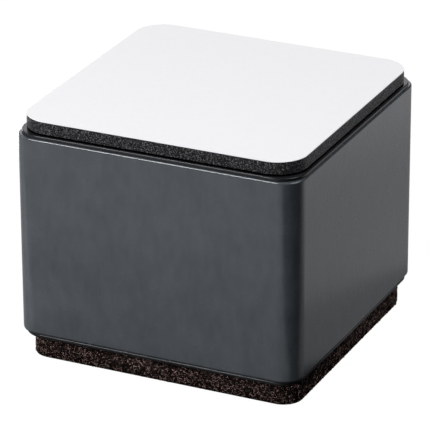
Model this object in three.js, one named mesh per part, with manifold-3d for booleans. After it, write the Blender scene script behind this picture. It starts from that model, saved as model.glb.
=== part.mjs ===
// A furniture riser: a short square steel tube closed by two moulded caps, with an adhesive foam pad
// under a paper liner on top and a thick felt pad underneath.
// Sizes are in millimetres, +Z is up, and the origin is the middle of the felt's underside.
import * as THREE from "three";
import { mergeVertices } from "three/addons/utils/BufferGeometryUtils.js";
import Module from "manifold-3d";

// Steel tube
const TUBE_WIDTH = 60;
const TUBE_WALL = 2;
const TUBE_LENGTH = 41.45;
const TUBE_CORNER_RADIUS = 4.25;
const TUBE_TOP_ROUND = 0.35;
const TUBE_BOTTOM_ROUND = 0.6;

// End caps: a flange that covers the tube's end and a skirt that is pressed into its bore
const FLANGE_THICKNESS = 0.7;
const FLANGE_INSET = 0.3;
const FLANGE_CORNER_RADIUS = 5;
const FLANGE_EDGE_ROUND = 0.2;
const SKIRT_DEPTH = 9;
const SKIRT_WALL = 1.6;
const SKIRT_CLEARANCE = 0.5;
const SKIRT_EDGE_ROUND = 0.3;
const BRACE_DEPTH = 6;
const BRACE_WALL = 1.5;
const CRUSH_RIB_WIDTH = 1.2;
const CRUSH_RIBS_PER_SIDE = 3;
const CRUSH_RIB_CLEARANCE = 0.1;
const CRUSH_RIB_LEAD = 2;

// Foam pad, with its tape, adhesive and liner cut to the same outline
const FOAM_THICKNESS = 2.25;
const FOAM_INSET = 0.8;
const FOAM_CORNER_RADIUS = 6;
const FOAM_TAPE_THICKNESS = 0.4;
const ADHESIVE_THICKNESS = 0.15;
const LINER_THICKNESS = 0.1;

// Felt pad, with its tape cut to the same outline
const FELT_THICKNESS = 4.9;
const FELT_INSET_X = 1.4;
const FELT_INSET_Y = 2.5;
const FELT_CORNER_RADIUS = 4;
const FELT_TAPE_THICKNESS = 0.15;

// Fineness of the rounded corners, edges and ribs
const CORNER_STEPS = 4;
const EDGE_STEPS = 3;
const RIB_STEPS = 8;
const SMALLEST_RADIUS = 0.2;

// Widths and radii that follow from the sizes above
const BORE_WIDTH = TUBE_WIDTH - 2 * TUBE_WALL;
const BORE_CORNER_RADIUS = Math.max(TUBE_CORNER_RADIUS - TUBE_WALL, SMALLEST_RADIUS);
const FLANGE_WIDTH = TUBE_WIDTH - 2 * FLANGE_INSET;
const SKIRT_WIDTH = BORE_WIDTH - 2 * SKIRT_CLEARANCE;
const SKIRT_CORNER_RADIUS = Math.max(BORE_CORNER_RADIUS - SKIRT_CLEARANCE, SMALLEST_RADIUS);
const SKIRT_INNER_WIDTH = SKIRT_WIDTH - 2 * SKIRT_WALL;
const SKIRT_INNER_RADIUS = Math.max(SKIRT_CORNER_RADIUS - SKIRT_WALL, SMALLEST_RADIUS);
const FOAM_WIDTH = TUBE_WIDTH - 2 * FOAM_INSET;
const FELT_WIDTH_X = TUBE_WIDTH - 2 * FELT_INSET_X;
const FELT_WIDTH_Y = TUBE_WIDTH - 2 * FELT_INSET_Y;

// Heights of the stack, from the floor up
const FELT_TAPE_BASE = FELT_THICKNESS;
const BOTTOM_FLANGE_BASE = FELT_TAPE_BASE + FELT_TAPE_THICKNESS;
const TUBE_BASE = BOTTOM_FLANGE_BASE + FLANGE_THICKNESS;
const TUBE_TOP = TUBE_BASE + TUBE_LENGTH;
const FOAM_TAPE_BASE = TUBE_TOP + FLANGE_THICKNESS;
const FOAM_BASE = FOAM_TAPE_BASE + FOAM_TAPE_THICKNESS;
const TOP_ADHESIVE_BASE = FOAM_BASE + FOAM_THICKNESS;
const LINER_BASE = TOP_ADHESIVE_BASE + ADHESIVE_THICKNESS;

const wasm = await Module();
wasm.setup();

// A closed three.js geometry as a solid that can be joined to others.
function solidFrom(geometry) {
  const bare = geometry.clone();
  bare.deleteAttribute("normal");
  bare.deleteAttribute("uv");
  const merged = mergeVertices(bare);
  const mesh = new wasm.Mesh({
    numProp: 3,
    vertProperties: merged.getAttribute("position").array,
    triVerts: new Uint32Array(merged.index.array),
  });
  return new wasm.Manifold(mesh);
}

// A solid as a three.js geometry.
function geometryFrom(solid) {
  const mesh = solid.getMesh();
  const geometry = new THREE.BufferGeometry();
  geometry.setAttribute("position", new THREE.BufferAttribute(mesh.vertProperties, 3));
  geometry.setIndex(new THREE.BufferAttribute(mesh.triVerts, 1));
  geometry.computeVertexNormals();
  return geometry;
}

// Several overlapping geometries joined into one.
function joined(geometries) {
  const solids = geometries.map(solidFrom);
  return geometryFrom(solids.reduce((sum, solid) => sum.add(solid)));
}

// The outline of a rectangle with round corners, centred on the origin. It is a Shape or a Path.
function roundedRectangle(Outline, width, depth, radius) {
  const x = width / 2 - radius;
  const y = depth / 2 - radius;
  const quarter = Math.PI / 2;
  const outline = new Outline();
  outline.absarc(x, y, radius, 0, quarter);
  outline.absarc(-x, y, radius, quarter, 2 * quarter);
  outline.absarc(-x, -y, radius, 2 * quarter, 3 * quarter);
  outline.absarc(x, -y, radius, 3 * quarter, 4 * quarter);
  outline.closePath();
  return outline;
}

// A shape drawn up from z = 0 to a thickness, with square edges as a die cuts them.
function cutSlab(shape, thickness) {
  return new THREE.ExtrudeGeometry(shape, {
    depth: thickness,
    curveSegments: CORNER_STEPS,
    bevelEnabled: false,
  });
}

// A shape drawn up from z = 0 to a thickness, with its edges rounded inside the outline.
function roundedSlab(shape, thickness, edgeRound) {
  const geometry = new THREE.ExtrudeGeometry(shape, {
    depth: thickness - 2 * edgeRound,
    curveSegments: CORNER_STEPS,
    bevelThickness: edgeRound,
    bevelSize: edgeRound,
    bevelOffset: -edgeRound,
    bevelSegments: EDGE_STEPS,
  });
  return geometry.translate(0, 0, edgeRound);
}

// A square ring with round corners, from z = 0 up.
function squareRing(width, radius, innerWidth, innerRadius, height, edgeRound) {
  const shape = roundedRectangle(THREE.Shape, width, width, radius);
  shape.holes.push(roundedRectangle(THREE.Path, innerWidth, innerWidth, innerRadius));
  return roundedSlab(shape, height, edgeRound);
}

// The points of a square loop with round corners at a height, anticlockwise from above.
function squareLoop(width, radius, height) {
  const toCorner = (width / 2 - radius) * Math.SQRT2;
  const quarter = Math.PI / 2;
  const steps = 2 * CORNER_STEPS;
  const points = [];
  for (let corner = 0; corner < 4; corner += 1) {
    const diagonal = (corner + 0.5) * quarter;
    for (let step = 0; step <= steps; step += 1) {
      const turn = (corner + step / steps) * quarter;
      const x = toCorner * Math.cos(diagonal) + radius * Math.cos(turn);
      const y = toCorner * Math.sin(diagonal) + radius * Math.sin(turn);
      points.push([x, y, height]);
    }
  }
  return points;
}

// A closed wall through loops with equal numbers of points, up its outside and down its inside.
function wallThrough(loops) {
  const count = loops[0].length;
  const index = [];
  for (let loop = 0; loop < loops.length; loop += 1) {
    const here = loop * count;
    const onward = ((loop + 1) % loops.length) * count;
    for (let point = 0; point < count; point += 1) {
      const beside = (point + 1) % count;
      index.push(here + point, here + beside, onward + beside);
      index.push(here + point, onward + beside, onward + point);
    }
  }
  const geometry = new THREE.BufferGeometry();
  geometry.setAttribute("position", new THREE.Float32BufferAttribute(loops.flat(2), 3));
  geometry.setIndex(index);
  geometry.computeVertexNormals();
  return geometry;
}

// The tube: the cut's upper outer edge is only broken, and the lower one is rounded further.
function steelTube() {
  const quarter = Math.PI / 2;
  const outerLoop = (inset, height) => squareLoop(TUBE_WIDTH - 2 * inset, TUBE_CORNER_RADIUS - inset, height);
  const lowerRim = [];
  const upperRim = [];
  for (let step = 0; step <= EDGE_STEPS; step += 1) {
    const inward = 1 - Math.cos((step / EDGE_STEPS) * quarter);
    const along = 1 - Math.sin((step / EDGE_STEPS) * quarter);
    lowerRim.push(outerLoop(TUBE_BOTTOM_ROUND * along, TUBE_BOTTOM_ROUND * inward));
    upperRim.push(outerLoop(TUBE_TOP_ROUND * inward, TUBE_LENGTH - TUBE_TOP_ROUND * along));
  }
  const boreLoop = (height) => squareLoop(BORE_WIDTH, BORE_CORNER_RADIUS, height);
  return wallThrough([...lowerRim, ...upperRim, boreLoop(TUBE_LENGTH), boreLoop(0)]);
}

// The ridges on the skirt's four sides that grip the bore. They stop short of the skirt's free end.
function crushRibs(rootDepth) {
  const radius = CRUSH_RIB_WIDTH / 2;
  const height = SKIRT_DEPTH - CRUSH_RIB_LEAD + rootDepth;
  const outward = BORE_WIDTH / 2 - CRUSH_RIB_CLEARANCE - radius;
  const straight = SKIRT_WIDTH - 2 * SKIRT_CORNER_RADIUS;
  const pitch = straight / CRUSH_RIBS_PER_SIDE;
  const ribs = [];
  for (let side = 0; side < 4; side += 1) {
    for (let rib = 0; rib < CRUSH_RIBS_PER_SIDE; rib += 1) {
      const along = (rib + 0.5) * pitch - straight / 2;
      const geometry = new THREE.CylinderGeometry(radius, radius, height, RIB_STEPS);
      geometry.rotateX(Math.PI / 2);
      geometry.translate(along, outward, rootDepth - height / 2);
      ribs.push(geometry.rotateZ((side * Math.PI) / 2));
    }
  }
  return ribs;
}

// The two walls that cross under the flange and stiffen it.
function braces(rootDepth) {
  const length = SKIRT_INNER_WIDTH + SKIRT_WALL;
  const height = BRACE_DEPTH + rootDepth;
  const middle = rootDepth - height / 2;
  const alongX = new THREE.BoxGeometry(length, BRACE_WALL, height).translate(0, 0, middle);
  const alongY = new THREE.BoxGeometry(BRACE_WALL, length, height).translate(0, 0, middle);
  return [alongX, alongY];
}

// A cap, with its flange above z = 0 and its skirt below. Each wall is rooted in the flange.
function endCap() {
  const rootDepth = FLANGE_THICKNESS / 2;
  const outline = roundedRectangle(THREE.Shape, FLANGE_WIDTH, FLANGE_WIDTH, FLANGE_CORNER_RADIUS);
  const flange = roundedSlab(outline, FLANGE_THICKNESS, FLANGE_EDGE_ROUND);
  const skirt = squareRing(
    SKIRT_WIDTH,
    SKIRT_CORNER_RADIUS,
    SKIRT_INNER_WIDTH,
    SKIRT_INNER_RADIUS,
    SKIRT_DEPTH + rootDepth,
    SKIRT_EDGE_ROUND,
  );
  skirt.translate(0, 0, -SKIRT_DEPTH);
  return joined([flange, skirt, ...braces(rootDepth), ...crushRibs(rootDepth)]);
}

// A pad or film cut to the foam's outline.
function foamLayer(thickness) {
  const outline = roundedRectangle(THREE.Shape, FOAM_WIDTH, FOAM_WIDTH, FOAM_CORNER_RADIUS);
  return cutSlab(outline, thickness);
}

// A pad or film cut to the felt's outline.
function feltLayer(thickness) {
  const outline = roundedRectangle(THREE.Shape, FELT_WIDTH_X, FELT_WIDTH_Y, FELT_CORNER_RADIUS);
  return cutSlab(outline, thickness);
}

// A named piece with its finish, standing at a height.
function piece(name, geometry, height, finish) {
  const mesh = new THREE.Mesh(geometry, new THREE.MeshStandardMaterial(finish));
  mesh.name = name;
  mesh.position.z = height;
  return mesh;
}

const FELT = { color: 0x2b211d, roughness: 1, metalness: 0 };
const CLEAR_FILM = { color: 0x2b2b29, roughness: 0.25, metalness: 0 };
const BLACK_TAPE = { color: 0x101011, roughness: 0.8, metalness: 0 };
const MOULDED_PLASTIC = { color: 0x18191b, roughness: 0.2, metalness: 0 };
const PAINTED_STEEL = { color: 0x53575a, roughness: 0.4, metalness: 0 };
const FOAM = { color: 0x1d1d1e, roughness: 0.95, metalness: 0 };
const LINER = { color: 0xf1f1f3, roughness: 0.55, metalness: 0 };

const bottomCap = piece("bottom_cap", endCap(), TUBE_BASE, MOULDED_PLASTIC);
bottomCap.rotation.x = Math.PI;

const riser = new THREE.Group();
riser.add(
  piece("felt_pad", feltLayer(FELT_THICKNESS), 0, FELT),
  piece("felt_tape", feltLayer(FELT_TAPE_THICKNESS), FELT_TAPE_BASE, CLEAR_FILM),
  bottomCap,
  piece("steel_tube", steelTube(), TUBE_BASE, PAINTED_STEEL),
  piece("top_cap", endCap(), TUBE_TOP, MOULDED_PLASTIC),
  piece("foam_tape", foamLayer(FOAM_TAPE_THICKNESS), FOAM_TAPE_BASE, BLACK_TAPE),
  piece("foam_pad", foamLayer(FOAM_THICKNESS), FOAM_BASE, FOAM),
  piece("top_adhesive", foamLayer(ADHESIVE_THICKNESS), TOP_ADHESIVE_BASE, CLEAR_FILM),
  piece("release_liner", foamLayer(LINER_THICKNESS), LINER_BASE, LINER),
);

export default riser;
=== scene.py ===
"""A furniture riser, dressed for a studio picture.

A short square steel tube, painted dark grey, stands on a thick brown felt pad. A moulded black cap
closes each end of it, and a black foam pad on top carries an adhesive film under a white paper liner.
Every length is in metres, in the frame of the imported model.
"""

import logging
import math
import random
from dataclasses import dataclass, field
from enum import Enum
from typing import Any, Callable

import bmesh
import bpy
from mathutils import Euler, Matrix, Quaternion, Vector


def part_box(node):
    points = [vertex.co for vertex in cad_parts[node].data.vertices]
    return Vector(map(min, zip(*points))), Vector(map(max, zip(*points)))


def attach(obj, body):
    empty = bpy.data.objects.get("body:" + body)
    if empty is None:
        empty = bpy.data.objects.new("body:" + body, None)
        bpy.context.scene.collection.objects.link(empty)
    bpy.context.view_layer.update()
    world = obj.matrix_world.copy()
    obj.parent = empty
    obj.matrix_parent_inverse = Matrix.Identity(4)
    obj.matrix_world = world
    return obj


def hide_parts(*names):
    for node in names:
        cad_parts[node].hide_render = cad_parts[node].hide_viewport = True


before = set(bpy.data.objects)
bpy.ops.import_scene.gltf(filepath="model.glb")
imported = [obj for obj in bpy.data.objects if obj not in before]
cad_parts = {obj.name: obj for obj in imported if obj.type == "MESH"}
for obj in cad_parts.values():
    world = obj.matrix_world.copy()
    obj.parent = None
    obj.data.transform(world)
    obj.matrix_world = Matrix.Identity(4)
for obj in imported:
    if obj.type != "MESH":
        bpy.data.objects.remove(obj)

MM = 0.001
TOUCH = 0.01 * MM  # places that are nearer than this are the same place
FACING = 0.99  # a face looks along a direction if its normal has more than this share of it
UPRIGHT = 0.01  # a face is upright if its normal has less than this share of Z
LEVEL_AXES = (Vector((1, 0, 0)), Vector((0, 1, 0)))
DAYLIGHT = "#fcfcff"

log = logging.getLogger("furniture_riser")

Tree = bpy.types.NodeTree
Socket = bpy.types.NodeSocket
EdgeTest = Callable[[bmesh.types.BMEdge], bool]
FaceTest = Callable[[bmesh.types.BMFace], bool]


class Element(Enum):
    """What an edit-mode selection is made of."""

    EDGE = "EDGE"
    FACE = "FACE"


class End(Enum):
    """The end of the tube that a cap closes, as the direction in which its flange faces."""

    TOP = 1.0
    BOTTOM = -1.0


class Texture(Enum):
    """The noise that a displace modifier pushes a surface with."""

    CELLS = "VORONOI"
    CLOUDS = "CLOUDS"


def linear(colour: str) -> tuple[float, float, float, float]:
    """Turns an sRGB hex colour into linear light.

    Args:
        colour: The colour as "#rrggbb".

    Returns:
        Linear red, green and blue, and an alpha of one.
    """
    shares = [int(colour[i : i + 2], 16) / 255 for i in (1, 3, 5)]
    light = [s / 12.92 if s <= 0.04045 else ((s + 0.055) / 1.055) ** 2.4 for s in shares]
    return (light[0], light[1], light[2], 1.0)


def add_node(
    tree: Tree, kind: str, settings: dict[Any, Any], links: dict[Any, Any], output: str = ""
) -> Socket | None:
    """Adds a node with its settings and links.

    The sockets of a Mix node share their names, so they go by index: 0 is the share, 2 and 3 are the
    numbers that are mixed, and 6 and 7 the colours.

    Args:
        tree: The node tree that takes the node.
        kind: The node's type name.
        settings: Values by property name, or by the name or index of an input socket.
        links: Output sockets by the name or index of the input that they feed.
        output: The output that is wanted, or nothing for the first one in use.

    Returns:
        The wanted output socket, or None if the node has none.
    """
    node = tree.nodes.new(kind)
    for key, value in settings.items():
        if isinstance(key, str) and hasattr(node, key):
            setattr(node, key, value)
        else:
            node.inputs[key].default_value = value
    for key, socket in links.items():
        tree.links.new(socket, node.inputs[key])
    if output:
        return node.outputs[output]
    return next((socket for socket in node.outputs if socket.enabled), None)


@dataclass(frozen=True)
class Finish:
    """A finish that gives a piece its material.

    Attributes:
        name: What the material really is.
        slot: The record's material slot.
    """

    name: str
    slot: str

    def shade(self, tree: Tree, place: Socket) -> dict[str, Any]:
        """Draws the finish's patterns.

        Args:
            tree: The material's node tree.
            place: The surface's own coordinates, in metres.

        Returns:
            Values and sockets for the shader's inputs.
        """
        raise NotImplementedError

    def material(self) -> bpy.types.Material:
        """Makes the finish's material on its first use.

        Returns:
            The material.
        """
        made = bpy.data.materials.get(self.name)
        if made is not None:
            return made
        made = bpy.data.materials.new(self.name)
        made.use_nodes = True
        tree = made.node_tree
        tree.nodes.clear()
        inputs = self.shade(tree, add_node(tree, "ShaderNodeTexCoord", {}, {}, "Object"))
        joined = {key: value for key, value in inputs.items() if isinstance(value, Socket)}
        fixed = {key: value for key, value in inputs.items() if key not in joined}
        shader = add_node(tree, "ShaderNodeBsdfPrincipled", fixed, joined)
        add_node(tree, "ShaderNodeOutputMaterial", {}, {"Surface": shader})
        return made

    def dress(self, piece: bpy.types.Object) -> None:
        """Gives a piece this finish alone.

        Args:
            piece: The piece, new or packed.
        """
        piece.data.materials.clear()
        piece.data.materials.append(self.material())


@dataclass(frozen=True)
class PowderCoat(Finish):
    """Satin powder coat on steel.

    The eye gets an even blue-grey film that is a little cloudy, with the soft gloss and very fine orange
    peel of powder that melted and set. The epoxy in it gives an index near 1.58.
    """

    dark: str = "#3d4246"
    light: str = "#4b5054"
    cloud: float = 6 * MM
    streak: float = 1.4 * MM
    streak_stretch: float = 2.5
    peel: float = 0.9 * MM
    peel_depth: float = 0.02 * MM

    def shade(self, tree: Tree, place: Socket) -> dict[str, Any]:
        """Draws clouds and upright streaks in the colour and orange peel in the relief.

        Args:
            tree: The material's node tree.
            place: The surface's own coordinates, in metres.

        Returns:
            Values and sockets for the shader's inputs.
        """
        upright = (1.0, 1.0, 1 / self.streak_stretch)
        tall = add_node(tree, "ShaderNodeMapping", {"Scale": upright}, {"Vector": place})
        clouds = add_node(
            tree, "ShaderNodeTexNoise", {"Scale": 1 / self.cloud, "Detail": 3.0}, {"Vector": place}
        )
        streaks = add_node(
            tree, "ShaderNodeTexNoise", {"Scale": 1 / self.streak, "Detail": 2.0}, {"Vector": tall}
        )
        mixed = add_node(tree, "ShaderNodeMix", {0: 0.5}, {2: clouds, 3: streaks})
        share = add_node(tree, "ShaderNodeMapRange", {"From Min": 0.3, "From Max": 0.7}, {"Value": mixed})
        colours = {"data_type": "RGBA", 6: linear(self.dark), 7: linear(self.light)}
        peel = add_node(
            tree, "ShaderNodeTexNoise", {"Scale": 1 / self.peel, "Detail": 1.0}, {"Vector": place}
        )
        return {
            "Base Color": add_node(tree, "ShaderNodeMix", colours, {0: share}),
            "Roughness": add_node(
                tree,
                "ShaderNodeMapRange",
                {"From Min": 0.3, "From Max": 0.7, "To Min": 0.24, "To Max": 0.29},
                {"Value": clouds},
            ),
            "IOR": 1.58,
            "Normal": add_node(
                tree, "ShaderNodeBump", {"Distance": self.peel_depth, "Strength": 0.3}, {"Height": peel}
            ),
        }


@dataclass(frozen=True)
class MouldedABS(Finish):
    """Black moulded ABS.

    The eye gets a satin near-black that draws a thin light line along each rounded edge, with faint flow
    clouds in the gloss.
    """

    dark: str = "#1a1b1d"
    light: str = "#202123"
    flow: float = 6 * MM

    def shade(self, tree: Tree, place: Socket) -> dict[str, Any]:
        """Draws the flow clouds of the moulding.

        Args:
            tree: The material's node tree.
            place: The surface's own coordinates, in metres.

        Returns:
            Values and sockets for the shader's inputs.
        """
        flow = add_node(
            tree, "ShaderNodeTexNoise", {"Scale": 1 / self.flow, "Detail": 2.0}, {"Vector": place}
        )
        colours = {"data_type": "RGBA", 6: linear(self.dark), 7: linear(self.light)}
        return {
            "Base Color": add_node(tree, "ShaderNodeMix", colours, {0: flow}),
            "Roughness": add_node(
                tree,
                "ShaderNodeMapRange",
                {"From Min": 0.3, "From Max": 0.7, "To Min": 0.25, "To Max": 0.32},
                {"Value": flow},
            ),
            "IOR": 1.53,
            "Specular IOR Level": 0.3,
        }


@dataclass(frozen=True)
class CellFoam(Finish):
    """Black closed-cell foam with a die-cut edge.

    The eye gets a fine salt-and-pepper speckle on the black foam: pits of painted shade between thin cell
    walls, some of which carry a painted highlight. The cells are drawn coarser than real ones, which
    would be too fine to show.
    """

    # painted light: the near-black pit colour is painted shade in the cell pits, and the grey wall colour is
    # a painted highlight on the cell walls; the foam itself is black
    pit_shade: str = "#020202"
    wall: str = "#7c7c7f"
    cell: float = 0.22 * MM
    cell_depth: float = 0.08 * MM

    def shade(self, tree: Tree, place: Socket) -> dict[str, Any]:
        """Paints the cut cells as specks of painted highlight on the walls, between pits of painted shade.

        Args:
            tree: The material's node tree.
            place: The surface's own coordinates, in metres.

        Returns:
            Values and sockets for the shader's inputs.
        """
        cells = add_node(
            tree, "ShaderNodeTexNoise", {"Scale": 1 / self.cell, "Detail": 1.0}, {"Vector": place}
        )
        # the noise's upper share paints the highlight on the cell walls, and the rest paints the shade in the
        # pits
        glint_share = add_node(tree, "ShaderNodeMapRange", {"From Min": 0.52, "From Max": 0.75}, {"Value": cells})
        colours = {"data_type": "RGBA", 6: linear(self.pit_shade), 7: linear(self.wall)}
        return {
            "Base Color": add_node(tree, "ShaderNodeMix", colours, {0: glint_share}),
            "Roughness": 0.8,
            "Specular IOR Level": 0.25,
            "Sheen Weight": 0.4,
            "Sheen Roughness": 0.4,
            "Normal": add_node(
                tree, "ShaderNodeBump", {"Distance": self.cell_depth, "Strength": 0.6}, {"Height": cells}
            ),
        }


@dataclass(frozen=True)
class BlackTape(Finish):
    """Matt black double-sided tape.

    The eye gets the deepest black of the stack, a thin line between the speckled foam and the cap. The tape
    is black, and its near-zero black with no specular also paints the shade under the foam's edge.
    """

    # painted shade: these blacks, darker than black tape itself, and the zero specular below stand in for the
    # shade under the foam
    dark: str = "#010101"
    light: str = "#040404"
    weave: float = 0.6 * MM

    def shade(self, tree: Tree, place: Socket) -> dict[str, Any]:
        """Draws the tape's faint unevenness.

        Args:
            tree: The material's node tree.
            place: The surface's own coordinates, in metres.

        Returns:
            Values and sockets for the shader's inputs.
        """
        uneven = add_node(
            tree, "ShaderNodeTexNoise", {"Scale": 1 / self.weave, "Detail": 2.0}, {"Vector": place}
        )
        colours = {"data_type": "RGBA", 6: linear(self.dark), 7: linear(self.light)}
        return {
            "Base Color": add_node(tree, "ShaderNodeMix", colours, {0: uneven}),
            "Roughness": 0.9,
            "Specular IOR Level": 0.0,
        }


@dataclass(frozen=True)
class SiliconisedPaper(Finish):
    """White glazed paper with a silicone coat.

    The eye gets an almost plain cool white, smooth and very slightly mottled by the paper's fibres.
    """

    dark: str = "#e6e6e5"
    light: str = "#ecebeb"
    formation: float = 0.8 * MM
    fibre_depth: float = 0.004 * MM

    def shade(self, tree: Tree, place: Socket) -> dict[str, Any]:
        """Draws the paper's faint formation.

        Args:
            tree: The material's node tree.
            place: The surface's own coordinates, in metres.

        Returns:
            Values and sockets for the shader's inputs.
        """
        fibres = add_node(
            tree, "ShaderNodeTexNoise", {"Scale": 1 / self.formation, "Detail": 3.0}, {"Vector": place}
        )
        colours = {"data_type": "RGBA", 6: linear(self.dark), 7: linear(self.light)}
        return {
            "Base Color": add_node(tree, "ShaderNodeMix", colours, {0: fibres}),
            "Roughness": add_node(
                tree,
                "ShaderNodeMapRange",
                {"From Min": 0.3, "From Max": 0.7, "To Min": 0.5, "To Max": 0.6},
                {"Value": fibres},
            ),
            "IOR": 1.45,
            "Normal": add_node(
                tree, "ShaderNodeBump", {"Distance": self.fibre_depth, "Strength": 0.3}, {"Height": fibres}
            ),
        }


@dataclass(frozen=True)
class AcrylicAdhesive(Finish):
    """Clear acrylic adhesive over a dark pad.

    The eye gets a dark, wet-looking film, rippled by the liner that covered it and flecked with bubbles.
    """

    dark: str = "#1c1c1b"
    light: str = "#2a2a28"
    ripple: float = 3 * MM
    ripple_depth: float = 0.06 * MM
    bubble: float = 0.5 * MM

    def shade(self, tree: Tree, place: Socket) -> dict[str, Any]:
        """Draws ripples and small trapped bubbles.

        Args:
            tree: The material's node tree.
            place: The surface's own coordinates, in metres.

        Returns:
            Values and sockets for the shader's inputs.
        """
        ripple = add_node(
            tree, "ShaderNodeTexNoise", {"Scale": 1 / self.ripple, "Detail": 3.0}, {"Vector": place}
        )
        bubbles = add_node(
            tree, "ShaderNodeTexNoise", {"Scale": 1 / self.bubble, "Detail": 1.0}, {"Vector": place}
        )
        colours = {"data_type": "RGBA", 6: linear(self.dark), 7: linear(self.light)}
        return {
            "Base Color": add_node(tree, "ShaderNodeMix", colours, {0: bubbles}),
            "Roughness": add_node(
                tree,
                "ShaderNodeMapRange",
                {"From Min": 0.35, "From Max": 0.65, "To Min": 0.12, "To Max": 0.3},
                {"Value": bubbles},
            ),
            "IOR": 1.47,
            "Normal": add_node(
                tree, "ShaderNodeBump", {"Distance": self.ripple_depth, "Strength": 0.5}, {"Height": ripple}
            ),
        }


@dataclass(frozen=True)
class NeedleFelt(Finish):
    """Coarse dark brown needle felt, the matted mass behind the loose fibres.

    The eye gets a matt near-black brown: the felt's own dark brown, with near-black patches painted as
    shade in the gaps between fibres.
    """

    # the near-black end is painted shade for the gaps between fibres, and the lighter end is the felt's own
    # brown
    dark: str = "#040202"
    light: str = "#20120f"
    mat: float = 0.45 * MM
    mat_depth: float = 0.2 * MM

    def shade(self, tree: Tree, place: Socket) -> dict[str, Any]:
        """Draws the matted mass between the loose fibres.

        Args:
            tree: The material's node tree.
            place: The surface's own coordinates, in metres.

        Returns:
            Values and sockets for the shader's inputs.
        """
        mat = add_node(
            tree, "ShaderNodeTexNoise", {"Scale": 1 / self.mat, "Detail": 3.0}, {"Vector": place}
        )
        share = add_node(tree, "ShaderNodeMapRange", {"From Min": 0.42, "From Max": 0.7}, {"Value": mat})
        colours = {"data_type": "RGBA", 6: linear(self.dark), 7: linear(self.light)}
        return {
            "Base Color": add_node(tree, "ShaderNodeMix", colours, {0: share}),
            "Roughness": 0.95,
            "Specular IOR Level": 0.1,
            "Normal": add_node(
                tree, "ShaderNodeBump", {"Distance": self.mat_depth, "Strength": 0.8}, {"Height": mat}
            ),
        }


@dataclass(frozen=True)
class FeltFibre(Finish):
    """Single brown felt fibres.

    The eye gets thin strands, most of them dark and a few pale enough to stand out.
    """

    dark: str = "#170d0b"
    light: str = "#aa8e84"
    rarity: float = 2.5

    def shade(self, tree: Tree, place: Socket) -> dict[str, Any]:
        """Gives each fibre a shade of its own.

        Args:
            tree: The material's node tree.
            place: The surface's own coordinates, in metres, not used.

        Returns:
            Values and sockets for the shader's inputs.
        """
        own = add_node(tree, "ShaderNodeNewGeometry", {}, {}, "Random Per Island")
        share = add_node(tree, "ShaderNodeMath", {"operation": "POWER", 1: self.rarity}, {0: own})
        colours = {"data_type": "RGBA", 6: linear(self.dark), 7: linear(self.light)}
        return {
            "Base Color": add_node(tree, "ShaderNodeMix", colours, {0: share}),
            "Roughness": 0.6,
            "Specular IOR Level": 0.2,
        }


@dataclass(frozen=True)
class PaperSweep(Finish):
    """White studio paper.

    The eye gets an even white that keeps only a faint shadow where the riser touches it.
    """

    white: str = "#ffffff"
    matt: str = "#303030"
    glow: float = 0.985

    def shade(self, tree: Tree, place: Socket) -> dict[str, Any]:
        """Lets the paper glow evenly, so that little of its light depends on the lamps.

        Args:
            tree: The material's node tree, not used.
            place: The surface's own coordinates, in metres, not used.

        Returns:
            Values and sockets for the shader's inputs.
        """
        return {
            "Base Color": linear(self.matt),
            "Roughness": 1.0,
            "Specular IOR Level": 0.0,
            "Emission Color": linear(self.white),
            "Emission Strength": self.glow,
        }


POWDER_COAT = PowderCoat("satin_powder_coat", "grey_paint")
BLACK_ABS = MouldedABS("black_moulded_abs", "black_plastic")
BLACK_FOAM = CellFoam("black_closed_cell_foam", "black_foam")
BLACK_TAPE_AND_SHADE = BlackTape("black_tape_with_painted_shade", "black_tape")
WHITE_LINER = SiliconisedPaper("white_siliconised_paper", "liner_paper")
CLEAR_ADHESIVE = AcrylicAdhesive("clear_acrylic_adhesive", "adhesive_film")
BROWN_FELT = NeedleFelt("brown_needle_felt", "brown_felt")
LOOSE_FIBRE = FeltFibre("brown_felt_fibre", "brown_felt")


def is_upright(edge: bmesh.types.BMEdge) -> bool:
    """Says whether an edge stands upright."""
    along = edge.verts[1].co - edge.verts[0].co
    return along.xy.length < TOUCH < abs(along.z)


def is_outer(edge: bmesh.types.BMEdge) -> bool:
    """Says whether an edge bounds an upright face that looks away from the middle.

    Args:
        edge: An edge of a block.

    Returns:
        True if it does.
    """
    middle = (edge.verts[0].co + edge.verts[1].co) / 2
    sides = [face.normal for face in edge.link_faces if abs(face.normal.z) < UPRIGHT]
    return any(normal.xy.dot(middle.xy) > 0 for normal in sides)


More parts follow.
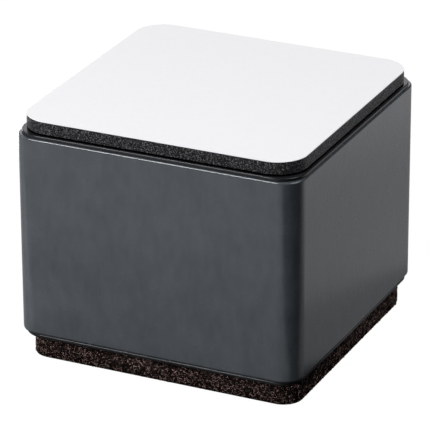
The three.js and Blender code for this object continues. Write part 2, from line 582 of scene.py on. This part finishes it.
class Workpiece:
    """A block that is shaped with edit-mode operators."""

    def __init__(self, name: str, low: Vector, high: Vector) -> None:
        """Adds a block that fills a box and opens it for editing.

        Args:
            name: The piece's name.
            low: The box's lowest corner.
            high: The box's highest corner.
        """
        bpy.ops.object.select_all(action="DESELECT")
        bpy.ops.mesh.primitive_cube_add(size=1.0, location=(low + high) / 2)
        self.obj = bpy.context.active_object
        self.obj.name = name
        self.obj.data.name = name
        self.obj.scale = high - low
        bpy.ops.object.transform_apply(location=True, rotation=True, scale=True)
        bpy.ops.object.mode_set(mode="EDIT")

    def pick(self, element: Element, test: Callable[[Any], bool]) -> None:
        """Selects the edges or faces that pass a test, and nothing else.

        Args:
            element: What is selected.
            test: Says whether an edge or a face is taken.
        """
        bpy.ops.mesh.select_mode(type=element.value)
        bpy.ops.mesh.select_all(action="DESELECT")
        mesh = bmesh.from_edit_mesh(self.obj.data)
        for item in mesh.edges if element is Element.EDGE else mesh.faces:
            if test(item):
                item.select_set(True)
        mesh.select_flush_mode()
        bmesh.update_edit_mesh(self.obj.data)

    def round_corners(self, radius: float, steps: int) -> None:
        """Rounds the block's four upright edges."""
        self.round_edges(is_upright, radius, steps)

    def round_edges(self, test: EdgeTest, radius: float, steps: int) -> None:
        """Rounds the edges that pass a test."""
        self.pick(Element.EDGE, test)
        bpy.ops.mesh.bevel(offset=radius, segments=steps, affect="EDGES")

    def split_edges(self, test: EdgeTest, cuts: int) -> None:
        """Divides the edges that pass a test, and the faces between them, by a number of cuts."""
        self.pick(Element.EDGE, test)
        bpy.ops.mesh.subdivide(number_cuts=cuts)

    def divide_sides(self, longest: float, rows: int) -> None:
        """Divides the upright sides into a fine grid.

        Args:
            longest: The longest level edge that is left.
            rows: The number of rows from bottom to top.
        """
        cuts = 9
        length = max(self.obj.dimensions)
        while length > longest:
            self.split_edges(lambda edge: not is_upright(edge) and edge.calc_length() > longest, cuts)
            length /= cuts + 1
        self.split_edges(is_upright, rows - 1)

    def cut_faces(self, test: FaceTest, point: Vector, normal: Vector) -> None:
        """Cuts the faces that pass a test along a plane."""
        self.pick(Element.FACE, test)
        bpy.ops.mesh.bisect(plane_co=point, plane_no=normal)

    def draw_out(self, test: FaceTest, along: Vector) -> None:
        """Extrudes the faces that pass a test as one region."""
        self.pick(Element.FACE, test)
        bpy.ops.mesh.extrude_region_move(TRANSFORM_OT_translate={"value": along})

    def close(self) -> bpy.types.Object:
        """Merges doubles, turns the normals outward and ends the editing.

        Returns:
            The finished piece.
        """
        bpy.ops.mesh.select_all(action="SELECT")
        bpy.ops.mesh.remove_doubles(threshold=TOUCH / 10)
        bpy.ops.mesh.normals_make_consistent(inside=False)
        bpy.ops.object.mode_set(mode="OBJECT")
        return self.obj

    def smooth(self, angle: float) -> None:
        """Shades the piece smooth, with its flat faces kept flat.

        Args:
            angle: The sharpest angle that is smoothed, in radians.
        """
        bpy.ops.object.shade_smooth_by_angle(angle=angle)
        weights = self.obj.modifiers.new("flat_faces", "WEIGHTED_NORMAL")
        weights.keep_sharp = True
        bpy.ops.object.modifier_apply(modifier=weights.name)

    def roughen(self, texture: Texture, size: float, depth: float) -> None:
        """Pushes the upright sides in and out by a noise, but not their upper and lower edges.

        Args:
            texture: The kind of noise.
            size: The size of its features.
            depth: The range from the deepest to the highest point.
        """
        heights = [vertex.co.z for vertex in self.obj.data.vertices]
        low, high = min(heights) + TOUCH, max(heights) - TOUCH
        group = self.obj.vertex_groups.new(name="sides")
        group.add([index for index, height in enumerate(heights) if low < height < high], 1.0, "REPLACE")
        pattern = bpy.data.textures.new(texture.name.lower(), texture.value)
        pattern.noise_scale = size
        push = self.obj.modifiers.new("roughen", "DISPLACE")
        push.texture = pattern
        push.texture_coords = "LOCAL"
        push.strength = depth
        push.vertex_group = group.name
        bpy.ops.object.modifier_apply(modifier=push.name)


class SubAssembly:
    """A part of the riser that is built and then dressed."""

    def build(self) -> list[bpy.types.Object]:
        """Returns the part's pieces."""
        raise NotImplementedError

    def dress(self, pieces: list[bpy.types.Object]) -> None:
        """Finishes the pieces and ties them to their body.

        Args:
            pieces: What was built.
        """
        raise NotImplementedError


@dataclass
class SteelTube(SubAssembly):
    """The square tube that carries the load: its upper outer edge is broken, the lower one rounded."""

    wall: float = 2 * MM
    corner_radius: float = 4.25 * MM
    top_round: float = 0.35 * MM
    bottom_round: float = 0.6 * MM
    corner_steps: int = 16
    rim_steps: int = 6
    smooth_angle: float = math.radians(30)

    def build(self) -> list[bpy.types.Object]:
        """Draws the tube with its bore and rounded rims.

        Returns:
            The tube.
        """
        low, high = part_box("steel_tube")
        work = Workpiece("painted_tube", low, high)
        work.round_corners(self.corner_radius, self.corner_steps)
        work.pick(Element.FACE, lambda face: abs(face.normal.z) > FACING)
        bpy.ops.mesh.inset(thickness=self.wall)
        bpy.ops.mesh.bridge_edge_loops()
        for height, radius in ((high.z, self.top_round), (low.z, self.bottom_round)):

            def is_rim(edge: bmesh.types.BMEdge) -> bool:
                """Says whether an edge is part of the outer rim at this end."""
                return is_outer(edge) and all(abs(v.co.z - height) < TOUCH for v in edge.verts)

            work.round_edges(is_rim, radius, self.rim_steps)
        tube = work.close()
        work.smooth(self.smooth_angle)
        return [tube]

    def dress(self, pieces: list[bpy.types.Object]) -> None:
        """Paints the tube.

        Args:
            pieces: The tube.
        """
        POWDER_COAT.dress(pieces[0])
        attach(pieces[0], "riser")
        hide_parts("steel_tube")


@dataclass
class EndCap(SubAssembly):
    """A moulded cap: a flange that covers the tube's end, with a ribbed, braced skirt in the bore."""

    end: End
    flange_thickness: float = 0.7 * MM
    flange_radius: float = 5 * MM
    flange_round: float = 0.2 * MM
    skirt_width: float = 55 * MM
    skirt_radius: float = 1.75 * MM
    skirt_wall: float = 1.6 * MM
    brace_depth: float = 6 * MM
    brace_wall: float = 1.5 * MM
    rib_width: float = 1.2 * MM
    rib_height: float = 0.4 * MM
    rib_round: float = 0.3 * MM
    rib_lead: float = 2 * MM
    ribs_per_side: int = 3
    corner_steps: int = 14
    round_steps: int = 4
    smooth_angle: float = math.radians(35)

    @property
    def node(self) -> str:
        """The CAD node that the cap stands for."""
        return "top_cap" if self.end is End.TOP else "bottom_cap"

    def rib_places(self) -> list[float]:
        """Returns how far along a side each crush rib stands."""
        straight = self.skirt_width - 2 * self.skirt_radius
        return [((index + 0.5) / self.ribs_per_side - 0.5) * straight for index in range(self.ribs_per_side)]

    def build(self) -> list[bpy.types.Object]:
        """Draws the cap out of its flange.

        Returns:
            The cap.
        """
        low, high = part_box(self.node)
        outward = Vector((0, 0, self.end.value))
        outer = high.z if self.end is End.TOP else low.z
        under = outer - outward.z * self.flange_thickness
        skirt_depth = high.z - low.z - self.flange_thickness
        flange_low = Vector((low.x, low.y, min(outer, under)))
        flange_high = Vector((high.x, high.y, max(outer, under)))
        work = Workpiece(self.node + "_moulding", flange_low, flange_high)
        work.round_corners(self.flange_radius, self.corner_steps)
        work.pick(Element.FACE, lambda face: face.normal.dot(outward) < -FACING)
        bpy.ops.mesh.inset(thickness=(high.x - low.x - self.skirt_width) / 2)
        bpy.ops.mesh.inset(thickness=self.skirt_wall)
        pocket = self.skirt_width / 2 - self.skirt_wall

        def in_pocket(face: bmesh.types.BMFace) -> bool:
            """Says whether a face lies inside the skirt and looks into the tube."""
            middle = face.calc_center_median()
            return face.normal.dot(outward) < -FACING and max(abs(middle.x), abs(middle.y)) < pocket

        def in_skirt(face: bmesh.types.BMFace) -> bool:
            """Says whether a face is the skirt's free edge."""
            reach = max(abs(value) for value in face.calc_center_median().xy)
            return face.normal.dot(outward) < -FACING and pocket < reach < self.skirt_width / 2

        def in_brace(face: bmesh.types.BMFace) -> bool:
            """Says whether a face is the free edge of a brace."""
            return in_pocket(face) and min(abs(v) for v in face.calc_center_median().xy) < self.brace_wall / 2

        for side in (-1, 1):
            for axis in LEVEL_AXES:
                work.cut_faces(in_pocket, axis * side * self.brace_wall / 2, axis)
        work.draw_out(lambda face: in_skirt(face) or in_brace(face), -outward * self.brace_depth)
        work.draw_out(in_skirt, -outward * (skirt_depth - self.brace_depth))
        self.add_ribs(work, under - outward.z * (skirt_depth - self.rib_lead), outward)
        lowest, highest = flange_low.z + TOUCH, flange_high.z - TOUCH

        def is_flange_edge(edge: bmesh.types.BMEdge) -> bool:
            """Says whether a level edge bounds the flange's side."""
            heights = [face.calc_center_median().z for face in edge.link_faces]
            return not is_upright(edge) and any(lowest < height < highest for height in heights)

        work.round_edges(is_flange_edge, self.flange_round, self.round_steps)
        cap = work.close()
        work.smooth(self.smooth_angle)
        return [cap]

    def add_ribs(self, work: Workpiece, rib_end: float, outward: Vector) -> None:
        """Draws the crush ribs out of the skirt's sides.

        Args:
            work: The cap, with its plain skirt.
            rib_end: The height at which the ribs stop, short of the skirt's free edge.
            outward: The direction in which the flange faces.
        """
        half = self.skirt_width / 2

        def on_skirt(face: bmesh.types.BMFace) -> bool:
            """Says whether a face is one of the skirt's outer sides."""
            reach = max(abs(value) for value in face.calc_center_median().xy)
            return abs(face.normal.z) < UPRIGHT and abs(reach - half) < TOUCH

        work.cut_faces(on_skirt, Vector((0, 0, rib_end)), outward)
        for place in self.rib_places():
            for edge in (place - self.rib_width / 2, place + self.rib_width / 2):
                for axis in LEVEL_AXES:
                    work.cut_faces(on_skirt, axis * edge, axis)
        for turn in range(4):
            side = Vector((round(math.cos(turn * math.pi / 2)), round(math.sin(turn * math.pi / 2)), 0))

            def on_rib(face: bmesh.types.BMFace) -> bool:
                """Says whether a face is a rib's strip on this side of the skirt.

                Args:
                    face: A face of the cap.

                Returns:
                    True if it is.
                """
                middle = face.calc_center_median()
                along = abs(side.y) * middle.x + abs(side.x) * middle.y
                near = any(abs(along - place) < self.rib_width / 2 for place in self.rib_places())
                inside = (middle.z - rib_end) * outward.z > 0
                return near and inside and on_skirt(face) and face.normal.dot(side) > FACING

            work.draw_out(on_rib, side * self.rib_height)

        def on_crest(edge: bmesh.types.BMEdge) -> bool:
            """Says whether an upright edge stands on a rib's crest."""
            reach = max(abs(value) for value in edge.verts[0].co.xy)
            return is_upright(edge) and abs(reach - half - self.rib_height) < TOUCH

        work.round_edges(on_crest, self.rib_round, self.round_steps)

    def dress(self, pieces: list[bpy.types.Object]) -> None:
        """Finishes the cap.

        Args:
            pieces: The cap.
        """
        BLACK_ABS.dress(pieces[0])
        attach(pieces[0], "riser")
        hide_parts(self.node)


@dataclass
class FoamPad(SubAssembly):
    """The die-cut foam pad, with its cut cells standing open round the edge."""

    corner_radius: float = 6 * MM
    corner_steps: int = 48
    grid: float = 0.2 * MM
    rows: int = 16
    cell: float = 0.34 * MM
    cell_depth: float = 0.16 * MM
    smooth_angle: float = math.radians(50)

    def build(self) -> list[bpy.types.Object]:
        """Cuts the pad, with a finely divided edge that is pitted by its cells.

        Returns:
            The pad.
        """
        work = Workpiece("foam_pad_cells", *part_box("foam_pad"))
        work.round_corners(self.corner_radius, self.corner_steps)
        work.divide_sides(self.grid, self.rows)
        pad = work.close()
        work.roughen(Texture.CELLS, self.cell, self.cell_depth)
        bpy.ops.object.shade_smooth_by_angle(angle=self.smooth_angle)
        return [pad]

    def dress(self, pieces: list[bpy.types.Object]) -> None:
        """Finishes the pad.

        Args:
            pieces: The pad.
        """
        BLACK_FOAM.dress(pieces[0])
        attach(pieces[0], "riser")
        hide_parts("foam_pad")


@dataclass
class FoamTape(SubAssembly):
    """The black tape under the foam, with an edge that its cutting left a little uneven."""

    corner_radius: float = 6 * MM
    corner_steps: int = 24
    grid: float = 0.6 * MM
    rows: int = 3
    unevenness: float = 2 * MM
    uneven_depth: float = 0.1 * MM
    smooth_angle: float = math.radians(50)

    def build(self) -> list[bpy.types.Object]:
        """Cuts the tape.

        Returns:
            The tape.
        """
        work = Workpiece("foam_tape_strip", *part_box("foam_tape"))
        work.round_corners(self.corner_radius, self.corner_steps)
        work.divide_sides(self.grid, self.rows)
        tape = work.close()
        work.roughen(Texture.CLOUDS, self.unevenness, self.uneven_depth)
        bpy.ops.object.shade_smooth_by_angle(angle=self.smooth_angle)
        return [tape]

    def dress(self, pieces: list[bpy.types.Object]) -> None:
        """Finishes the tape.

        Args:
            pieces: The tape.
        """
        BLACK_TAPE_AND_SHADE.dress(pieces[0])
        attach(pieces[0], "riser")
        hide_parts("foam_tape")


@dataclass
class ReleaseLiner(SubAssembly):
    """The sheet of white paper that covers the adhesive."""

    corner_radius: float = 6 * MM
    corner_steps: int = 48
    edge_round: float = 0.02 * MM
    edge_steps: int = 2
    smooth_angle: float = math.radians(30)

    def build(self) -> list[bpy.types.Object]:
        """Cuts the sheet, with its edge slightly rounded.

        Returns:
            The sheet.
        """
        work = Workpiece("liner_sheet", *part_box("release_liner"))
        work.round_corners(self.corner_radius, self.corner_steps)
        work.round_edges(lambda edge: not is_upright(edge), self.edge_round, self.edge_steps)
        liner = work.close()
        work.smooth(self.smooth_angle)
        return [liner]

    def dress(self, pieces: list[bpy.types.Object]) -> None:
        """Finishes the sheet and ties it to the body that lifts off.

        Args:
            pieces: The sheet.
        """
        WHITE_LINER.dress(pieces[0])
        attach(pieces[0], "liner")
        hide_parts("release_liner")


@dataclass
class AdhesiveFilms(SubAssembly):
    """The clear adhesive films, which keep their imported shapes."""

    nodes: tuple[str, ...] = ("top_adhesive", "felt_tape")

    def build(self) -> list[bpy.types.Object]:
        """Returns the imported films."""
        return [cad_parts[name] for name in self.nodes]

    def dress(self, pieces: list[bpy.types.Object]) -> None:
        """Finishes each film.

        Args:
            pieces: The films.
        """
        for piece in pieces:
            CLEAR_ADHESIVE.dress(piece)


@dataclass
class FeltPad(SubAssembly):
    """The thick felt pad: a matted body with loose fibres over its sides."""

    corner_radius: float = 4 * MM
    corner_steps: int = 14
    grid: float = 0.4 * MM
    rows: int = 14
    mat: float = 0.8 * MM
    mat_depth: float = 0.2 * MM
    smooth_angle: float = math.radians(60)
    fibre_count: int = 9400
    fibre_points: int = 3
    fibre_length: tuple[float, float] = (0.25 * MM, 0.8 * MM)
    fibre_radius: tuple[float, float] = (0.035 * MM, 0.06 * MM)
    tightest_curl: float = 0.35 * MM
    curl_spread: float = 0.55
    bare_top: float = 0.2 * MM
    seat: tuple[float, float] = (-0.1 * MM, 0.06 * MM)
    arch: float = 0.1 * MM
    seed: int = 7
    low: Vector = field(init=False)
    high: Vector = field(init=False)

    def __post_init__(self) -> None:
        """Takes the pad's box from the frame."""
        self.low, self.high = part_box("felt_pad")

    def build(self) -> list[bpy.types.Object]:
        """Builds the matted body and its loose fibres.

        Returns:
            The matted body, then the loose fibres.
        """
        work = Workpiece("felt_body", self.low, self.high)
        work.round_corners(self.corner_radius, self.corner_steps)
        work.divide_sides(self.grid, self.rows)
        body = work.close()
        work.roughen(Texture.CLOUDS, self.mat, self.mat_depth)
        bpy.ops.object.shade_smooth_by_angle(angle=self.smooth_angle)
        return [body, self.build_fibres()]

    def on_outline(self, along: float) -> tuple[Vector, Vector]:
        """Finds a point on the pad's outline.

        Args:
            along: The distance from the outline's start, any number of times round.

        Returns:
            The point, at floor height, and the outward direction there.
        """
        radius = self.corner_radius
        half_x, half_y = self.high.x - radius, self.high.y - radius
        quarter = radius * math.pi / 2
        corners = [(half_x, -half_y), (half_x, half_y), (-half_x, half_y), (-half_x, -half_y)]
        straights = [2 * half_y, 2 * half_x, 2 * half_y, 2 * half_x]
        along %= self.outline_length()
        for side, (x, y) in enumerate(corners):
            facing = side * math.pi / 2
            ahead = Vector((-math.sin(facing), math.cos(facing), 0))
            out = Vector((math.cos(facing), math.sin(facing), 0))
            if along < straights[side]:
                return Vector((x, y, 0)) + out * radius + ahead * along, out
            along -= straights[side]
            if along < quarter:
                turn = facing + along / radius
                out = Vector((math.cos(turn), math.sin(turn), 0))
                return Vector((*corners[(side + 1) % 4], 0)) + out * radius, out
            along -= quarter
        return Vector((half_x + radius, -half_y, 0)), Vector((1, 0, 0))

    def outline_length(self) -> float:
        """Returns the length of the pad's outline."""
        straight = 4 * (self.high.x - self.corner_radius) + 4 * (self.high.y - self.corner_radius)
        return straight + 2 * math.pi * self.corner_radius

    def fibre(self, draw: random.Random) -> list[Vector]:
        """Draws a curled fibre on the pad's side.

        Args:
            draw: The source of chance.

        Returns:
            The fibre's points.
        """
        step = draw.uniform(*self.fibre_length) / (self.fibre_points - 1)
        along = draw.uniform(0, self.outline_length())
        top = self.high.z - self.bare_top
        height = draw.uniform(self.low.z, top)
        heading = draw.uniform(0, 2 * math.pi)
        bend = draw.gauss(0, self.curl_spread) * step / self.tightest_curl
        seat = draw.uniform(*self.seat)
        thickest = self.fibre_radius[1]
        points = []
        for index in range(self.fibre_points):
            spot, out = self.on_outline(along)
            proud = seat + self.arch * math.sin(math.pi * index / (self.fibre_points - 1))
            level = min(max(height, self.low.z + thickest), top)
            points.append(spot + out * proud + Vector((0, 0, level)))
            along += step * math.cos(heading)
            height += step * math.sin(heading)
            heading += bend
        return points

    def build_fibres(self) -> bpy.types.Object:
        """Builds the loose fibres.

        Returns:
            One mesh of thin curled tubes.
        """
        draw = random.Random(self.seed)
        curve = bpy.data.curves.new("felt_fibres", "CURVE")
        curve.dimensions = "3D"
        curve.bevel_depth = 1.0
        curve.bevel_resolution = 0
        curve.use_fill_caps = True
        for _ in range(self.fibre_count):
            points = self.fibre(draw)
            radius = draw.uniform(*self.fibre_radius)
            spline = curve.splines.new("POLY")
            spline.points.add(len(points) - 1)
            for index, (knot, point) in enumerate(zip(spline.points, points)):
                knot.co = (*point, 1.0)
                knot.radius = radius * math.sin(math.pi * (index + 1) / (len(points) + 1)) ** 0.5
        fibres = bpy.data.objects.new("felt_fibres", curve)
        bpy.context.scene.collection.objects.link(fibres)
        bpy.ops.object.select_all(action="DESELECT")
        fibres.select_set(True)
        bpy.context.view_layer.objects.active = fibres
        bpy.ops.object.convert(target="MESH")
        bpy.ops.object.shade_smooth()
        return fibres

    def dress(self, pieces: list[bpy.types.Object]) -> None:
        """Finishes the felt and its fibres.

        Args:
            pieces: The matted body, then the loose fibres.
        """
        body, fibres = pieces
        BROWN_FELT.dress(body)
        LOOSE_FIBRE.dress(fibres)
        for piece in pieces:
            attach(piece, "riser")
        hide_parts("felt_pad")


def direction(azimuth: float, elevation: float) -> Vector:
    """Returns the unit vector to an azimuth and an elevation, in degrees."""
    side, up = math.radians(azimuth), math.radians(elevation)
    return Vector((math.sin(side) * math.cos(up), -math.cos(side) * math.cos(up), math.sin(up)))


def hang_light(name: str, place: Vector, turn: Quaternion, width: float, watts: float) -> bpy.types.AreaLight:
    """Hangs a square soft light that the camera doesn't see.

    Args:
        name: The light's name.
        place: Where its middle is.
        turn: How it is turned from shining straight down.
        width: The length of its sides.
        watts: Its power.

    Returns:
        The lamp, for what else is set on it.
    """
    lamp = bpy.data.lights.new(name, "AREA")
    lamp.size = width
    lamp.energy = watts
    lamp.color = linear(DAYLIGHT)[:3]
    light = bpy.data.objects.new(name, lamp)
    light.location = place
    light.rotation_mode = "QUATERNION"
    light.rotation_quaternion = turn
    light.visible_camera = False
    bpy.context.scene.collection.objects.link(light)
    return lamp


@dataclass(frozen=True)
class Softbox:
    """A soft light that looks at the riser.

    Attributes:
        name: The light's name.
        azimuth: Its side, in degrees: 0 is in front, along -Y, and 90 is to the right, along +X.
        elevation: Its height above the horizon, in degrees.
        distance: Its distance from the riser's middle.
        width: The length of its sides.
        watts: Its power.
    """

    name: str
    azimuth: float
    elevation: float
    distance: float
    width: float
    watts: float

    def build(self, middle: Vector) -> None:
        """Hangs the light.

        Args:
            middle: The point that it faces.
        """
        back = direction(self.azimuth, self.elevation)
        turn = (-back).to_track_quat("-Z", "Y")
        hang_light(self.name, middle + back * self.distance, turn, self.width, self.watts)


@dataclass(frozen=True)
class LitPaper:
    """A square of lit paper on the floor, which the riser's sides mirror.

    Attributes:
        name: The square's name.
        x: How far its middle is to the right of the riser.
        y: How far its middle is behind the riser.
        z: Its height above the floor, by which papers that overlap are kept apart.
        width: The length of its sides.
        watts: The power of the light that it throws up.
        turn: How far it is turned on the floor, in degrees.
    """

    name: str
    x: float
    y: float
    z: float
    width: float
    watts: float
    turn: float = 0.0

    def build(self, middle: Vector) -> None:
        """Lays the square just above the floor."""
        turn = Euler((math.pi, 0, math.radians(self.turn))).to_quaternion()
        hang_light(self.name, Vector((self.x, self.y, self.z)), turn, self.width, self.watts)


@dataclass(frozen=True)
class FloorStrip:
    """A strip light near the floor, with a narrow beam that reaches the felt under the cap's edge.

    Attributes:
        name: The light's name.
        y: How far it is in front of the riser.
        z: The height of its middle above the floor.
        width: Its width.
        height: Its height.
        beam: The angle of its beam, in degrees.
        watts: Its power.
    """

    name: str
    y: float
    z: float
    width: float
    height: float
    beam: float
    watts: float

    def build(self, middle: Vector) -> None:
        """Stands the strip near the floor, square to the riser's front.

        Args:
            middle: The riser's middle, not used: the strip doesn't aim at it.
        """
        turn = Euler((math.pi / 2, 0, 0)).to_quaternion()
        lamp = hang_light(self.name, Vector((0, -self.y, self.z)), turn, self.width, self.watts)
        lamp.shape = "RECTANGLE"
        lamp.size_y = self.height
        lamp.spread = math.radians(self.beam)


@dataclass
class Studio:
    """The camera, soft lights and white paper that the riser is pictured with."""

    azimuth: float = 25.13586
    elevation: float = 23.54549
    roll: float = -0.23154
    distance: float = 671.049 * MM
    aim: Vector = field(default_factory=lambda: Vector((0.015, -1.774, 24.84)) * MM)
    focal_pixels: float = 3391.68
    picture_pixels: float = 430.0
    sensor: float = 36.0
    clip: tuple[float, float] = (0.01, 20.0)
    paper_width: float = 6.0
    lights: tuple[Softbox | LitPaper | FloorStrip, ...] = (
        Softbox("key", azimuth=-29.0, elevation=36.0, distance=0.6, width=0.15, watts=2.75),
        Softbox("rim_light", azimuth=-44.0, elevation=56.0, distance=1.0, width=0.25, watts=1.0),
        Softbox("left_fill", azimuth=-86.0, elevation=20.0, distance=1.0, width=0.5, watts=1.5),
        Softbox("right_fill", azimuth=100.0, elevation=60.0, distance=0.6, width=0.3, watts=1.75),
        Softbox("backdrop", azimuth=205.0, elevation=24.0, distance=0.9, width=0.7, watts=2.3),
        LitPaper("paper_beside", x=0.111, y=0.1755, z=1.0 * MM, width=0.3, watts=0.08, turn=26.0),
        LitPaper("paper_behind", x=0.12, y=0.208, z=1.2 * MM, width=0.3, watts=0.0635, turn=26.0),
        LitPaper("paper_beyond", x=0.165, y=0.243, z=1.4 * MM, width=0.3, watts=0.078, turn=26.0),
        LitPaper("paper_aside", x=-0.096, y=0.01, z=1.8 * MM, width=0.125, watts=0.022),
        LitPaper("paper_left", x=-0.22, y=0.2, z=1.6 * MM, width=0.3, watts=1.6),
        LitPaper("paper_front", x=-0.108, y=-0.1875, z=1.0 * MM, width=0.3, watts=0.122),
        FloorStrip("felt_strip", y=0.15, z=3.2 * MM, width=0.07, height=1.6 * MM, beam=2.5, watts=0.00035),
        LitPaper("paper_ahead", x=-0.1, y=-0.23, z=1.2 * MM, width=0.3, watts=0.085),
    )

    def build_camera(self) -> None:
        """Sets the camera at the photograph's viewing angle."""
        lens = bpy.data.cameras.new("camera")
        lens.sensor_width = self.sensor
        lens.lens = self.focal_pixels / self.picture_pixels * self.sensor
        lens.clip_start, lens.clip_end = self.clip
        camera = bpy.data.objects.new("camera", lens)
        back = direction(self.azimuth, self.elevation)
        turn = (-back).to_track_quat("-Z", "Y").to_matrix().to_4x4()
        camera.rotation_mode = "QUATERNION"
        camera.rotation_quaternion = (turn @ Matrix.Rotation(math.radians(self.roll), 4, "Z")).to_quaternion()
        camera.location = self.aim + back * self.distance
        bpy.context.scene.collection.objects.link(camera)
        bpy.context.scene.camera = camera

    def build_lights(self) -> None:
        """Hangs the lights in a black room, and has their colours shown as they are."""
        for light in self.lights:
            light.build(self.aim)
        bpy.context.scene.view_settings.view_transform = "Standard"

    def build_paper(self) -> None:
        """Lays the white paper that the riser stands on."""
        bpy.ops.object.select_all(action="DESELECT")
        bpy.ops.mesh.primitive_plane_add(size=self.paper_width)
        paper = bpy.context.active_object
        paper.name = "studio_paper"
        paper.visible_diffuse = False
        paper.visible_glossy = False
        paper.data.materials.append(PaperSweep("white_studio_paper", "").material())


def main() -> None:
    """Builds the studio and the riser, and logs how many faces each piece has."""
    logging.basicConfig(level=logging.INFO, format="%(message)s")
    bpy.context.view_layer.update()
    studio = Studio()
    studio.build_camera()
    studio.build_lights()
    studio.build_paper()
    caps = (EndCap(End.TOP), EndCap(End.BOTTOM))
    for part in (SteelTube(), *caps, FoamPad(), FoamTape(), ReleaseLiner(), AdhesiveFilms(), FeltPad()):
        pieces = part.build()
        part.dress(pieces)
        for piece in pieces:
            log.info("%s: %d faces", piece.name, len(piece.data.polygons))


if __name__ == "__main__":
    main()
